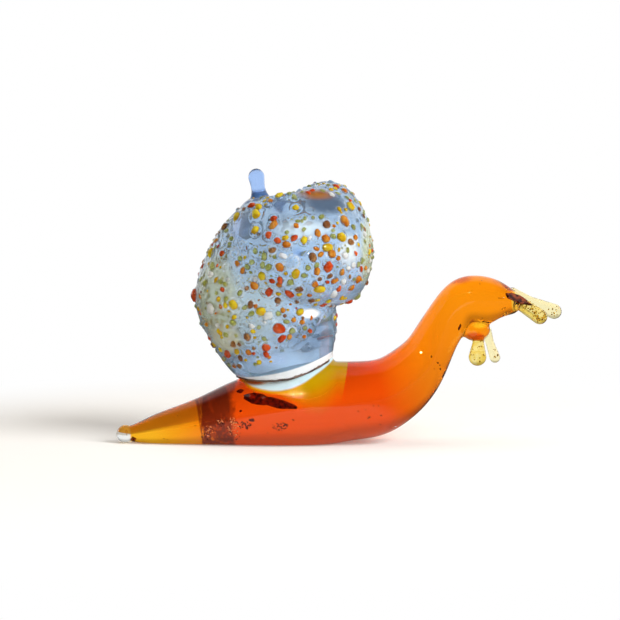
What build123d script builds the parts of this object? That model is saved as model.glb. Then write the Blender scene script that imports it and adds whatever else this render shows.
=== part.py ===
from build123d import *
import math
import os

# Garden snail drawn out of solid coloured glass at a lamp, in millimetres.
# The head points along +X, +Z is up, and the origin is on the flat of the foot,
# straight under the axis of the shell.

# Body gather, measured from the shell's axis
tail_reach = 31.4
trunk_front = 13.0
trunk_height = 16.9
trunk_width = 17.0
foot_press = 1.0

# Neck and head
neck_reach = 18.9
neck_rise = 15.8
neck_lift = 8.5
neck_thickness = 8.85
head_reach = 14.7
head_rise = 4.4
head_thickness = 9.4
head_width = 9.8

# Coloured stretches of the tail
tail_cone_length = 14.4
tail_band_length = 6.6
tail_bead_radius = 1.8
tail_bead_bite = 0.75

# Chin lump
chin_length = 5.8
chin_width = 5.4
chin_depth = 4.6
chin_setback = 6.0
chin_drop = 5.9

# Upper pair of stalks, from the snout
eye_length_near = 8.55
eye_length_far = 12.3
eye_bury = 2.0
eye_root_lift = 5.3
eye_root_step = 0.3
eye_root_gap = 1.2
eye_root_radius = 1.5
eye_waist_radius_near = 1.36
eye_waist_radius_far = 1.1
eye_ball_radius = 1.55
eye_splay_near = 22
eye_splay_far = 19
eye_droop_near = 34
eye_droop_far = 22

# Lower pair of feelers, from the chin
feeler_length_near = 7.2
feeler_length_far = 7.5
feeler_root_gap = 1.3
feeler_root_lead = 1.3
feeler_root_step = 1.5
feeler_root_radius = 1.2
feeler_waist_radius_near = 1.15
feeler_waist_radius_far = 0.85
feeler_ball_radius_near = 1.78
feeler_ball_radius_far = 1.08
feeler_splay = 12
feeler_droop_near = 94
feeler_droop_far = 70

# Clear collar between body and shell
collar_height = 0.95
collar_flare = 0.55
collar_half_length = 8.9
collar_half_depth = 6.0
collar_lens_depth = 4.2

# Coiled shell: the first turn stands on the collar, the top turn wraps round it
shell_left = 18.2
shell_right = 9.8
shell_half_depth = 12.4
shell_rise = 36.4
top_turn_radius = 17.7
top_turn_lean = 10

# Glass stub where the coil was pulled off
peg_length = 8.3
peg_root_radius = 2.1
peg_waist_radius = 1.3
peg_ball_radius = 1.73
peg_lean = 6

# Coloured grains melted on the coil
grain_radius = 0.72
grain_height = 0.85
grain_sink = 0.8
grain_gap = 0.3
grain_sides = 5
scatter_count = 60

# One overrun serves all cuts and sight lines
overrun = 60.0

# Rows: place along the trunk, middle height, thickness, width
trunk_shares = [
    (0.000, 0.112, 0.190, 0.185),
    (0.082, 0.147, 0.320, 0.318),
    (0.159, 0.181, 0.420, 0.424),
    (0.314, 0.254, 0.592, 0.612),
    (0.468, 0.343, 0.793, 0.800),
    (0.605, 0.393, 0.905, 0.929),
    (0.764, 0.441, 1.000, 1.000),
    (0.900, 0.475, 0.985, 0.990),
]

# Rows: place along the neck, rise, lean in degrees, passage from trunk size to neck size
neck_shares = [
    (0.000, 0.000, 3, 0.13),
    (0.312, 0.055, 10, 0.24),
    (0.503, 0.183, 22, 0.40),
    (0.667, 0.362, 34, 0.59),
    (0.783, 0.551, 45, 0.80),
    (0.905, 0.835, 56, 0.98),
    (1.000, 1.019, 52, 1.01),
]

# Rows: place along the head, rise, lean in degrees, thickness
head_shares = [
    (0.28, 1.01, 22, 1.00),
    (0.60, 0.94, -7, 0.98),
    (0.84, 0.85, -20, 0.60),
    (0.95, 0.75, -24, 0.40),
    (1.00, 0.70, -25, 0.18),
]

# Rows: height, left edge, right edge, middle in depth, half depth
first_turn_shares = [
    (-0.107, 0.410, 0.898, 0.00, 0.468),
    (0.044, 0.725, 0.929, 0.01, 0.661),
    (0.250, 0.956, 1.000, 0.04, 0.903),
    (0.387, 1.000, 0.959, 0.08, 0.992),
    (0.662, 0.819, 0.714, 0.16, 0.919),
    (0.780, 0.665, 0.510, 0.16, 0.750),
    (0.860, 0.484, 0.224, 0.16, 0.484),
    (0.893, 0.341, -0.041, 0.16, 0.234),
]

# Rows: turn in degrees, distance from the axis, height, half width, half height
top_turn_shares = [
    (100, 0.367, 0.648, 0.215, 0.165),
    (75, 0.463, 0.662, 0.328, 0.253),
    (45, 0.520, 0.673, 0.407, 0.316),
    (15, 0.542, 0.670, 0.452, 0.332),
    (-45, 0.508, 0.657, 0.407, 0.316),
    (-105, 0.441, 0.665, 0.339, 0.264),
    (-160, 0.384, 0.723, 0.260, 0.192),
    (-198, 0.350, 0.777, 0.147, 0.107),
    (-210, 0.345, 0.788, 0.068, 0.052),
]

# Grains that stand out on the near side: colour, place along X, height, size
near_grain_shares = [
    ("yellow", -0.565, 0.807, 1.25),
    ("yellow", -0.354, 0.826, 1.40),
    ("yellow", -0.350, 0.733, 1.10),
    ("yellow", -0.860, 0.610, 1.30),
    ("yellow", -0.011, 0.671, 1.25),
    ("yellow", -0.288, 0.486, 1.25),
    ("yellow", -0.252, 0.593, 1.00),
    ("yellow", -0.610, 0.335, 1.25),
    ("yellow", -0.294, 0.286, 1.25),
    ("yellow", 0.599, 0.692, 1.40),
    ("yellow", 0.706, 0.855, 1.20),
    ("yellow", 0.469, 0.632, 1.40),
    ("yellow", 0.362, 0.412, 1.25),
    ("yellow", 0.096, 0.855, 0.90),
    ("orange", 0.644, 0.786, 1.50),
    ("orange", -0.147, 0.777, 1.40),
    ("orange", 0.073, 0.690, 0.90),
    ("orange", -0.729, 0.608, 1.10),
    ("orange", 0.814, 0.478, 1.25),
    ("orange", 0.542, 0.461, 1.00),
    ("orange", 0.633, 0.942, 1.00),
    ("orange", -0.215, 0.401, 1.10),
    ("orange", -0.107, 0.198, 1.50),
    ("red", -0.395, 0.868, 1.00),
    ("red", 0.028, 0.391, 1.10),
    ("red", -0.237, 0.088, 1.10),
    ("red", -0.062, 0.142, 1.00),
    ("red", 0.554, 0.967, 1.00),
    ("red", -0.209, 0.708, 1.00),
    ("red", -0.107, 0.678, 1.00),
    ("red", 0.678, 0.340, 1.10),
    ("brown", -0.700, 0.754, 1.25),
    ("brown", -0.452, 0.154, 1.10),
    ("brown", -0.367, 0.431, 1.10),
    ("brown", 0.418, 0.675, 1.25),
    ("brown", 0.718, 0.669, 1.00),
    ("brown", 0.435, 0.766, 1.10),
    ("white", -0.220, 0.264, 1.25),
    ("white", -0.847, 0.302, 1.50),
    ("green", 0.819, 0.365, 1.25),
    ("red", -1.015, 0.385, 1.60),
]

# Colours of the evenly scattered grains, taken in turn
scatter_colours = ["yellow", "red", "green", "orange", "white", "brown", "yellow", "green", "orange", "white", "red"]

# Clear patches where no grain took: lower end and upper end in height, left end and right end in X
bare_patch_shares = [(0.600, 0.850, -0.60, 0.00), (0.780, 0.880, 0.10, 0.50)]

# Shares that shape the drawn stubs, the grains and their spread
waist_place_share = 0.45
grain_crown_share = 0.6
grain_stretch_share = 0.22
size_swing_share = 0.2
frit_floor_share = 0.1
frit_middle_share = 0.5
peg_place_shares = (-0.295, -0.03, 0.845)

trunk_length = tail_reach + trunk_front
seat_height = trunk_height - foot_press
head_root = trunk_front + neck_reach
head_root_height = neck_lift + neck_rise
snout = head_root + head_reach
golden_turn = 180 * (3 - math.sqrt(5))


# Four quarter arcs, so that every section starts its outline on the same side
def oval(plane, half_across, half_up):
    arcs = []
    for quarter in range(4):
        arcs.append(EllipticalCenterArc((0, 0), half_across, half_up, start_angle=90 * quarter, arc_size=90))
    return plane * make_face(arcs)


def body_plane(along, height, lean):
    slope = math.radians(lean)
    heading = (math.cos(slope), 0, math.sin(slope))
    return Plane(origin=(along, 0, height), x_dir=(0, 1, 0), z_dir=heading)


# Sections of the whole body from tail to snout, each grown all round by the given amount
def body_sections(growth):
    sections = []
    for place, middle, thick, wide in trunk_shares:
        plane = body_plane(place * trunk_length - tail_reach, middle * trunk_height, 0)
        sections.append(oval(plane, wide * trunk_width / 2 + growth, thick * trunk_height / 2 + growth))
    for place, rise, lean, passage in neck_shares:
        plane = body_plane(trunk_front + place * neck_reach, neck_lift + rise * neck_rise, lean)
        thick = trunk_height + passage * (neck_thickness - trunk_height)
        wide = trunk_width + passage * (neck_thickness - trunk_width)
        sections.append(oval(plane, wide / 2 + growth, thick / 2 + growth))
    for place, rise, lean, thick in head_shares:
        plane = body_plane(head_root + place * head_reach, head_root_height + rise * head_rise, lean)
        sections.append(oval(plane, thick * head_width / 2 + growth, thick * head_thickness / 2 + growth))
    return sections


# The body in one flow of glass, flat where it was pressed on the plate
def body_gather():
    under = Pos(0, 0, -overrun / 2) * Box(2 * overrun, overrun, overrun)
    return loft(body_sections(0)) - under


# A slab across the body between two places on X
def stretch(start, end):
    return Pos((start + end) / 2, 0, 0) * Box(end - start, overrun, 2 * overrun)


# A drawn stub: a root that narrows to a waist, then widens to meet its round end smoothly
def glass_stub(root, heading, length, root_radius, waist_radius, ball_radius):
    straight = length - ball_radius
    waist_place = waist_place_share * straight
    rest = straight - waist_place
    flare = math.asin(ball_radius / math.hypot(waist_radius, rest)) - math.atan2(waist_radius, rest)
    meeting = (ball_radius * math.cos(flare), straight - ball_radius * math.sin(flare))
    outline = Polyline((0, length), (0, 0), (root_radius, 0), (waist_radius, waist_place), meeting)
    crown = CenterArc((0, straight), ball_radius, -math.degrees(flare), 90 + math.degrees(flare))
    turned = revolve(Plane.XZ * make_face([outline, crown]), Axis.Z)
    return Plane(origin=root, z_dir=heading) * turned


# What is left of a stub outside the glass that it is melted into
def largest(shape):
    return shape.solids().sort_by(SortBy.VOLUME)[-1]


def tail_bead(body):
    middle = (tail_bead_bite - tail_reach - tail_bead_radius, 0, tail_bead_radius)
    return largest(Pos(*middle) * Sphere(tail_bead_radius) - body)


def chin_lump(body):
    drop = Sphere(chin_length / 2)
    drop = scale(drop, by=(1, chin_width / chin_length, chin_depth / chin_length))
    along = snout - chin_setback - chin_length / 2
    return largest(Pos(along, 0, head_root_height + head_rise - chin_drop) * drop - body)


# A direction pointing forward, turned out to one side and down
def drooping(side, splay, droop):
    out = math.radians(splay)
    down = math.radians(droop)
    return (math.cos(out) * math.cos(down), side * math.sin(out), -math.cos(out) * math.sin(down))


# The upper stalks spread from the snout, the near one shorter and lower
def eye_stalk(side, length, splay, droop, waist_radius, body):
    height = head_root_height + eye_root_lift + side * eye_root_step
    root = (snout - eye_bury, side * eye_root_gap, height)
    heading = drooping(side, splay, droop)
    stub = glass_stub(root, heading, length, eye_root_radius, waist_radius, eye_ball_radius)
    return largest(stub - body)


# The lower feelers hang from the chin, the far one set a little forward
def feeler(side, length, droop, waist_radius, ball_radius, body, chin):
    along = snout - chin_setback - chin_length / 2 + feeler_root_lead + side * feeler_root_step / 2
    root = (along, side * feeler_root_gap, head_root_height + head_rise - chin_drop)
    heading = drooping(side, feeler_splay, droop)
    stub = glass_stub(root, heading, length, feeler_root_radius, waist_radius, ball_radius)
    return largest(largest(stub - body) - chin)


# Clear glass between body and shell: a flared ring above, a lens sunk in the body below
def collar_blank():
    above = oval(Plane((0, 0, seat_height + shell_rise / 4)), collar_half_length, collar_half_depth)
    flare = oval(Plane((0, 0, seat_height)), collar_half_length + collar_flare, collar_half_depth + collar_flare)
    middle = oval(Plane((0, 0, seat_height - collar_lens_depth)), collar_half_length, collar_half_depth)
    low = oval(
        Plane((0, 0, seat_height - 1.5 * collar_lens_depth)), collar_half_length / 2, collar_half_depth / 2
    )
    return loft([above, flare, middle, low])


# The first turn leans out over the tail and climbs to the crown
def first_turn():
    sections = []
    for height, left, right, middle, half_depth in first_turn_shares:
        left_edge = left * shell_left
        right_edge = right * shell_right
        centre = ((right_edge - left_edge) / 2, middle * shell_half_depth, seat_height + height * shell_rise)
        sections.append(oval(Plane(centre), (right_edge + left_edge) / 2, half_depth * shell_half_depth))
    return loft(sections)


# The top turn swells out of the first at the back, rounds the right side and tapers away in front,
# with its crown leaning in over the axis
def top_turn():
    sections = []
    lean = math.radians(top_turn_lean)
    for turn, distance, height, half_width, half_height in top_turn_shares:
        swing = math.radians(turn)
        reach = distance * top_turn_radius
        centre = (reach * math.cos(swing), reach * math.sin(swing), seat_height + height * shell_rise)
        outward = (math.cos(swing) * math.cos(lean), math.sin(swing) * math.cos(lean), math.sin(lean))
        across = (math.sin(swing), -math.cos(swing), 0)
        plane = Plane(origin=centre, x_dir=outward, z_dir=across)
        sections.append(oval(plane, half_width * top_turn_radius, half_height * shell_rise))
    return loft(sections)


def shell_coil(cover):
    return first_turn() + top_turn() - cover


def peg_root():
    along, depth, height = peg_place_shares
    return (along * top_turn_radius, depth * top_turn_radius, seat_height + height * shell_rise)


def shell_peg(coil):
    root = peg_root()
    slope = math.radians(peg_lean)
    heading = (-math.sin(slope), 0, math.cos(slope))
    stub = glass_stub(root, heading, peg_length, peg_root_radius, peg_waist_radius, peg_ball_radius)
    return largest(stub - coil)


# Where a sight line meets the coil: the point and the outward normal there
def surface_spot(coil, start, heading, farthest):
    hits = coil.find_intersection_points(Axis(start, heading))
    if not hits:
        return None
    pick = max if farthest else min
    point, normal = pick(hits, key=lambda hit: (hit[0] - Vector(start)).dot(Vector(heading)))
    outward = Vector(heading) if farthest else -Vector(heading)
    if normal.dot(outward) < 0:
        normal = -normal
    return point, normal


# One melted grain: a blunt drop with flat sides, whose root is sunk in the coil
def grain(point, normal, size, spin):
    base = Plane(origin=point, z_dir=normal).rotated((0, 0, spin))
    radius = grain_radius * size
    wide = 1 + grain_stretch_share * math.sin(spin)
    sections = []
    for level, spread in [(-grain_sink, 1), (grain_height, grain_crown_share)]:
        outline = scale(RegularPolygon(radius * spread, grain_sides), by=(wide, 1, 1))
        sections.append(base.offset(level * size) * outline)
    return loft(sections, ruled=True)


def in_bare_patch(point):
    if point.Y > 0:
        return False
    along = point.X / top_turn_radius
    height = (point.Z - seat_height) / shell_rise
    for low, high, left, right in bare_patch_shares:
        if low < height < high and left < along < right:
            return True
    return False


# Every grain as colour, point, normal and size, none nearer to another than the gap
def grain_spots(coil):
    spots = []
    peg_point = Vector(*peg_root())

    def add(colour, found, size, keep_clear):
        if found is None:
            return
        point, normal = found
        room = grain_gap + 2 * grain_radius * (1 + grain_stretch_share)
        for other in spots:
            if (other[1] - point).length < room * (size + other[3]) / 2:
                return
        if (point - peg_point).length < peg_root_radius + grain_radius * size + keep_clear:
            return
        spots.append((colour, point, normal, size))

    shell = coil.shell()
    for colour, along, height, size in near_grain_shares:
        start = (along * top_turn_radius, -overrun, seat_height + height * shell_rise)
        add(colour, surface_spot(shell, start, (0, 1, 0), False), size, 0)
    middle = (0, 0, seat_height + frit_middle_share * shell_rise)
    for count in range(scatter_count):
        level = 1 - (2 * count + 1) / scatter_count
        around = math.radians(count * golden_turn)
        ring = math.sqrt(1 - level * level)
        heading = (ring * math.cos(around), ring * math.sin(around), level)
        found = surface_spot(shell, middle, heading, True)
        low = seat_height + frit_floor_share * shell_rise
        if found is None or found[0].Z < low or in_bare_patch(found[0]):
            continue
        size = 1 + size_swing_share * math.sin(3 * count)
        add(scatter_colours[count % len(scatter_colours)], found, size, grain_gap)
    return spots


def frit_groups(coil):
    groups = {}
    for count, (colour, point, normal, size) in enumerate(grain_spots(coil)):
        drop = grain(point, normal, size, count * golden_turn)
        groups.setdefault(colour, []).append(largest(drop - coil))
    return groups


os.makedirs("parts", exist_ok=True)

gather = body_gather()
cover = loft(body_sections(collar_height))
blank = collar_blank()
band_start = tail_cone_length - tail_reach
band_end = band_start + tail_band_length
coil = shell_coil(cover)
chin = chin_lump(gather)

nodes = {
    "tail_bead": tail_bead(gather),
    "tail_cone": gather & stretch(-overrun, band_start),
    "tail_band": (gather & stretch(band_start, band_end)) - blank,
    "body": (gather & stretch(band_end, overrun)) - blank,
    "chin_lump": chin,
    "eye_stalk_near": eye_stalk(
        -1, eye_length_near, eye_splay_near, eye_droop_near, eye_waist_radius_near, gather
    ),
    "eye_stalk_far": eye_stalk(
        1, eye_length_far, eye_splay_far, eye_droop_far, eye_waist_radius_far, gather
    ),
    "feeler_near": feeler(
        -1, feeler_length_near, feeler_droop_near, feeler_waist_radius_near, feeler_ball_radius_near, gather, chin
    ),
    "feeler_far": feeler(
        1, feeler_length_far, feeler_droop_far, feeler_waist_radius_far, feeler_ball_radius_far, gather, chin
    ),
    "collar": blank & cover,
    "shell_coil": coil,
    "shell_peg": shell_peg(coil),
}
for colour, grains in frit_groups(coil).items():
    nodes["frit_" + colour] = Compound(children=grains)

for name, solid in nodes.items():
    export_step(solid, "parts/" + name + ".step")
    print(name, len(solid.solids()), round(solid.volume, 1))
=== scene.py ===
import math
import random

import bmesh
import bpy
import numpy as np
from mathutils import Matrix, Vector, noise
from mathutils.bvhtree import BVHTree
from mathutils.kdtree import KDTree


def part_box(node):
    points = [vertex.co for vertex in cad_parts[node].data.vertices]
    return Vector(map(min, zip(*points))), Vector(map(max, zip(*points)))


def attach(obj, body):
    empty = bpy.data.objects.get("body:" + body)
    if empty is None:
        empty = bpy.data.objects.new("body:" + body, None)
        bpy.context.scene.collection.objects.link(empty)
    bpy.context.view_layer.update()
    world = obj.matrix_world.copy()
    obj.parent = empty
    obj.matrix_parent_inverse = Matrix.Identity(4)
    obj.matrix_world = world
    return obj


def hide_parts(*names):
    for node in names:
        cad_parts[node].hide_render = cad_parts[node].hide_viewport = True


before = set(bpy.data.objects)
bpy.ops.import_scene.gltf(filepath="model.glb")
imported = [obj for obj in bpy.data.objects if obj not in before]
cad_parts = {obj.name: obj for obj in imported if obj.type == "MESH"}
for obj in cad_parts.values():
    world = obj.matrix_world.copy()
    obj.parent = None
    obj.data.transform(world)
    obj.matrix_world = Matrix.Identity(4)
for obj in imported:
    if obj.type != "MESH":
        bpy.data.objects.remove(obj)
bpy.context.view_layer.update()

# The sight line. The snail is seen from its side, from far off and a few degrees above the table.
# Places here and below are written in millimetres, and one function turns them to metres.
sight_middle = (4.6, 0.0, 26.7)
sight_distance = 344.0
sight_rise = 4.0
sight_lens = 100.0


def metres(*lengths):
    scaled = [length / 1000 for length in lengths]
    return scaled[0] if len(scaled) == 1 else Vector(scaled)


eye_level = math.radians(sight_rise)
toward_eye = Vector((0, -math.cos(eye_level), math.sin(eye_level)))
eye_point = metres(*sight_middle) + toward_eye * metres(sight_distance)
camera = bpy.data.objects.new("sight", bpy.data.cameras.new("sight"))
camera.data.lens = sight_lens
camera.data.clip_start = metres(10)
camera.location = eye_point
camera.rotation_euler = toward_eye.to_track_quat("Z", "Y").to_euler()
bpy.context.scene.collection.objects.link(camera)
bpy.context.scene.camera = camera
bpy.context.scene.view_settings.view_transform = "Standard"


# The table: a sheet of matt white paper that runs out behind the snail. It keeps the snail's soft
# shadow and fades to the white of the sheet that hangs behind it. Rays that the glass throws back
# meet it dimmer than it is seen, and dimmest away from the middle of the body.
table_reach = 1500.0
table_drop = 0.05
table_white = "#F4F2EE"
table_lift = 0.17
table_mirrored = 0.2
table_shade = "#4A4640"
mirrored_middle = 3.0
mirrored_half = 23.0
mirrored_soft = 4.0
shade_in_middle = 0.35
fade_start = 60.0
fade_end = 130.0


def linear(code):
    levels = [int(code[place:place + 2], 16) / 255 for place in (1, 3, 5)]
    return [level / 12.92 if level <= 0.04045 else ((level + 0.055) / 1.055) ** 2.4 for level in levels] + [1]


# A soft edge between two values
soft = {"interpolation_type": "SMOOTHSTEP"}


# Adds a node with its settings and links. A node that is given as an input stands for its first output.
def add_node(tree, kind, inputs=None, stops=None, **settings):
    node = tree.nodes.new("ShaderNode" + kind)
    for name, value in settings.items():
        setattr(node, name, value)
    for name, value in (inputs or {}).items():
        value = value.outputs[0] if isinstance(value, bpy.types.Node) else value
        if isinstance(value, bpy.types.NodeSocket):
            tree.links.new(value, node.inputs[name])
        else:
            node.inputs[name].default_value = value
    for count, (place, code) in enumerate(stops or []):
        ramp = node.color_ramp.elements
        stop = ramp[count] if count < 2 else ramp.new(place)
        stop.position = place
        stop.color = linear(code)
    return node


def new_material(name):
    material = bpy.data.materials.new(name)
    material.use_nodes = True
    material.node_tree.nodes.clear()
    return material, material.node_tree


def new_piece(name, mesh, material):
    piece = bpy.data.objects.new(name, mesh)
    bpy.context.scene.collection.objects.link(piece)
    mesh.materials.clear()
    mesh.materials.append(material)
    return piece


# A ray that goes through clear glass counts as glossy and as transmitted, so one is taken off the other
def reflected_only(tree, path):
    return add_node(tree, "Math", {0: path.outputs["Is Glossy Ray"], 1: path.outputs["Is Transmission Ray"]},
                    operation="SUBTRACT", use_clamp=True)


matt_sheet, tree = new_material("matt_white_sheet")
path = add_node(tree, "LightPath")
seen = add_node(tree, "Math", {0: path.outputs["Is Camera Ray"], 1: path.outputs["Is Transmission Ray"]},
                operation="MAXIMUM")
thrown_back = reflected_only(tree, path)
mirror = add_node(tree, "Math", {0: thrown_back, 1: table_mirrored}, operation="MULTIPLY")
seen = add_node(tree, "Math", {0: seen, 1: mirror}, operation="MAXIMUM")
place = add_node(tree, "TexCoord").outputs["Object"]
far_off = add_node(tree, "VectorMath", {0: place}, operation="LENGTH").outputs["Value"]
far_off = add_node(tree, "MapRange", {"Value": far_off, "From Min": metres(fade_start),
                   "From Max": metres(fade_end)}, **soft)
faded = add_node(tree, "Math", {0: far_off, 1: seen}, operation="MULTIPLY")
lift = add_node(tree, "Math", {0: seen, 1: table_lift}, operation="MULTIPLY")
glow = add_node(tree, "Emission", {"Color": linear(table_white), "Strength": lift})
across = add_node(tree, "SeparateXYZ", {0: place}).outputs["X"]
across = add_node(tree, "Math", {0: across, 1: metres(mirrored_middle)}, operation="SUBTRACT")
across = add_node(tree, "Math", {0: across}, operation="ABSOLUTE")
beside = add_node(tree, "MapRange", {"Value": across, "From Min": metres(mirrored_half - mirrored_soft),
                  "From Max": metres(mirrored_half + mirrored_soft), "To Min": shade_in_middle, "To Max": 1.0})
beside = add_node(tree, "Math", {0: thrown_back, 1: beside}, operation="MULTIPLY")
flat = add_node(tree, "Mix", {0: beside, 6: linear(table_white), 7: linear(table_shade)},
                data_type="RGBA").outputs[2]
flat = add_node(tree, "BsdfDiffuse", {"Color": flat})
both = add_node(tree, "AddShader", {0: flat, 1: glow})
dimmed = add_node(tree, "Math", {0: thrown_back, 1: table_mirrored - 1, 2: 1.0}, operation="MULTIPLY_ADD")
backdrop = add_node(tree, "Emission", {"Color": linear("#FFFFFF"), "Strength": dimmed})
sheet = add_node(tree, "MixShader", {0: faded, 1: both, 2: backdrop})
add_node(tree, "OutputMaterial", {"Surface": sheet})

sheet_mesh = bpy.data.meshes.new("table")
corners = [(-1, -1), (1, -1), (1, 1), (-1, 1)]
sheet_mesh.from_pydata([metres(x * table_reach, y * table_reach, -table_drop) for x, y in corners], [],
                       [(0, 1, 2, 3)])
table = new_piece("table", sheet_mesh, matt_sheet)

# The light. A broad window stands to the right and in front, a softer one overhead, and two small
# tubes light nothing and show only in what the glass mirrors. A white sheet hangs behind. Above it
# the room is grey, and what the glass mirrors of the room in front is nearly dark.
window_size = 420.0
window_place = (560.0, -400.0, 420.0)
window_power = 7.5
ceiling_size = 600.0
ceiling_place = (-60.0, 40.0, 760.0)
ceiling_power = 1.2
tube_size = (6.0, 2.5)
tube_places = [(-100.0, -420.0, 325.0), (-70.0, -420.0, 345.0)]
tube_power = 1.5


def add_lamp(name, place, width, depth, power):
    light = bpy.data.lights.new(name, "AREA")
    light.shape = "RECTANGLE"
    light.size = metres(width)
    light.size_y = metres(depth)
    light.energy = power
    lamp = bpy.data.objects.new(name, light)
    lamp.location = metres(*place)
    lamp.rotation_euler = (metres(*place) - metres(*sight_middle)).to_track_quat("Z", "Y").to_euler()
    bpy.context.scene.collection.objects.link(lamp)
    lamp.visible_camera = False
    return lamp


window = add_lamp("window", window_place, window_size, window_size, window_power)
ceiling = add_lamp("ceiling", ceiling_place, ceiling_size, ceiling_size, ceiling_power)
for lamp in (window, ceiling):
    lamp.visible_glossy = False
    lamp.visible_transmission = False
for count, tube_place in enumerate(tube_places):
    tube = add_lamp("tube_%d" % count, tube_place, *tube_size, tube_power)
    tube.visible_diffuse = False
    tube.visible_transmission = False

room_grey = 0.6
room_dark = 0.05
room_fill = 0.28
fill_colour = "#FFF4E8"
sheet_top = (12.0, 32.0)
room_turn = (0.1, 0.5)
world = bpy.data.worlds.new("room")
bpy.context.scene.world = world
world.use_nodes = True
tree = world.node_tree
tree.nodes.clear()
path = add_node(tree, "LightPath")
heading = add_node(tree, "TexCoord").outputs["Generated"]
parts = add_node(tree, "SeparateXYZ", {0: heading}).outputs
top_start, top_end = [math.sin(math.radians(angle)) for angle in sheet_top]
through = add_node(tree, "MapRange", {"Value": parts["Z"], "From Min": top_start, "From Max": top_end,
                   "To Min": 1.0, "To Max": room_grey}, **soft)
behind = add_node(tree, "MapRange", {"Value": parts["Y"], "From Min": room_turn[0], "From Max": room_turn[1],
                  "To Min": room_dark, "To Max": 1.0}, **soft)
mirrored = add_node(tree, "Math", {0: behind, 1: through}, operation="MULTIPLY")
level = add_node(tree, "Mix", {0: path.outputs["Is Diffuse Ray"], 2: through, 3: room_fill})
level = add_node(tree, "Mix", {0: reflected_only(tree, path), 2: level, 3: mirrored})
level = add_node(tree, "Mix", {0: path.outputs["Is Camera Ray"], 2: level, 3: 1.0})
hue = add_node(tree, "Mix", {0: path.outputs["Is Diffuse Ray"], 6: linear("#FFFFFF"), 7: linear(fill_colour)},
               data_type="RGBA").outputs[2]
light = add_node(tree, "Background", {"Color": hue, "Strength": level})
add_node(tree, "OutputWorld", {"Surface": light})
bpy.context.scene.cycles.max_bounces = 20
bpy.context.scene.cycles.transmission_bounces = 20
bpy.context.scene.cycles.glossy_bounces = 6

# The body: one gather of soft glass, drawn out to a tail, a neck and a head, and set down on its foot.
# It is amber over a red-orange core, clear at the tail's tip, with a ring of maroon and a clear pad let into the back
# for the shell; the pad is painted milky and pale blue as the light that shows through it. The stubs on the head are
# melted on, so one skin covers all.
skin_grain = 0.27
skin_passes = 22
slender_share = 0.12
snout_cut = (45.8, 28.3)
snout_droop = -15.0
chin_cut = (35.2, 20.9)
far_set_back = 1.1
far_chin_cut = (39.3, 23.6)
tip_clear = "#F4F6F4"
tip_amber = "#FFB820"
tail_amber = "#F88600"
tail_shade = "#D06A06"
band_maroon = "#7A2408"
heart_red = "#EC4E02"
neck_orange = "#F07E08"
head_amber = "#FF9408"
pad_painted_light = "#D2F4FF"
pad_rim = "#E8B400"
pad_wedge = "#C4A400"
glass_ior = 1.5
band_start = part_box("tail_band")[0].x * 1000
band_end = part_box("tail_band")[1].x * 1000
tip_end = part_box("tail_cone")[0].x * 1000
# Lower edge of the painted pale pad in the back: place along the body and height
pad_edge = [(-10.0, 15.0), (-8.8, 13.4), (-7.0, 12.0), (-4.6, 11.4), (-2.4, 11.2), (-0.4, 11.4), (2.6, 12.4),
            (5.6, 14.2), (8.8, 16.5), (10.0, 17.7)]
pad_low = 10.0
pad_high = 18.0
pad_milky = 0.86
wedge_milky = 0.6
wedge_end = 12.2
pad_half_length = 10.4
tail_split = (2.0, 0.225)
tint_start = -34.0
tint_end = 58.0
climb_share = 0.3
waver_size = 9.0
waver_reach = 2.5
speck_size = 2.2
ragged_reach = 3.2
fleck_size = 0.9
polished = 0.0
smear_core = 0.45
# Smears in the skin: middle, half size, colour and how milky. The yellow one on the chin is a painted highlight.
body_tints_and_chin_highlight = [((34.2, 0, 33.0), (3.8, 6, 1.5), "#C04818", 0.1), ((38.4, -3, 23.9), (2.2, 2.6, 0.9), "#FFD030", 0.3),
               ((37.4, -2, 21.6), (2.5, 2.6, 1.2), "#D84408", 0.3), ((-6.8, -6, 13.0), (3.6, 8, 1.1), "#8A4A2C", 0.5)]


def skin_over(name, node_names, grain, passes, slender=None):
    blank = bmesh.new()
    for node_name in node_names:
        blank.from_mesh(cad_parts[node_name].data)
    mesh = bpy.data.meshes.new(name)
    blank.to_mesh(mesh)
    blank.free()
    rough = bpy.data.objects.new(name + "_rough", mesh)
    bpy.context.scene.collection.objects.link(rough)
    melt = rough.modifiers.new("melt", "REMESH")
    melt.mode = "VOXEL"
    melt.voxel_size = metres(grain)
    depsgraph = bpy.context.evaluated_depsgraph_get()
    melted = bpy.data.meshes.new_from_object(rough.evaluated_get(depsgraph))
    rough.modifiers.clear()
    rough.data = melted
    settle = rough.modifiers.new("settle", "SMOOTH")
    settle.factor = 0.5
    settle.iterations = passes
    if slender:
        group = rough.vertex_groups.new(name="thick")
        for vertex in melted.vertices:
            group.add([vertex.index], slender_share if slender(vertex.co) else 1.0, "REPLACE")
        settle.vertex_group = group.name
    depsgraph.update()
    skin = bpy.data.meshes.new_from_object(rough.evaluated_get(bpy.context.evaluated_depsgraph_get()))
    skin.name = name
    bpy.data.objects.remove(rough)
    skin.polygons.foreach_set("use_smooth", [True] * len(skin.polygons))
    return skin


def snout_way(point):
    droop = math.radians(snout_droop)
    return (point.x - metres(snout_cut[0])) * math.cos(droop) - (point.z - metres(snout_cut[1])) * math.sin(droop)


def on_stub(point):
    if snout_way(point) > (0 if point.y < 0 else -metres(far_set_back)):
        return "eye_stalk_near" if point.y < 0 else "eye_stalk_far"
    if point.x > metres(chin_cut[0]) and point.z < metres(chin_cut[1]):
        return "feeler_near" if point.y < 0 else "feeler_far"
    if point.y > 0 and point.x > metres(far_chin_cut[0]) and point.z < metres(far_chin_cut[1]):
        return "feeler_far"
    return None


# An edge that falls from one to nothing
falling = {"To Min": 1.0, "To Max": 0.0}
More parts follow.
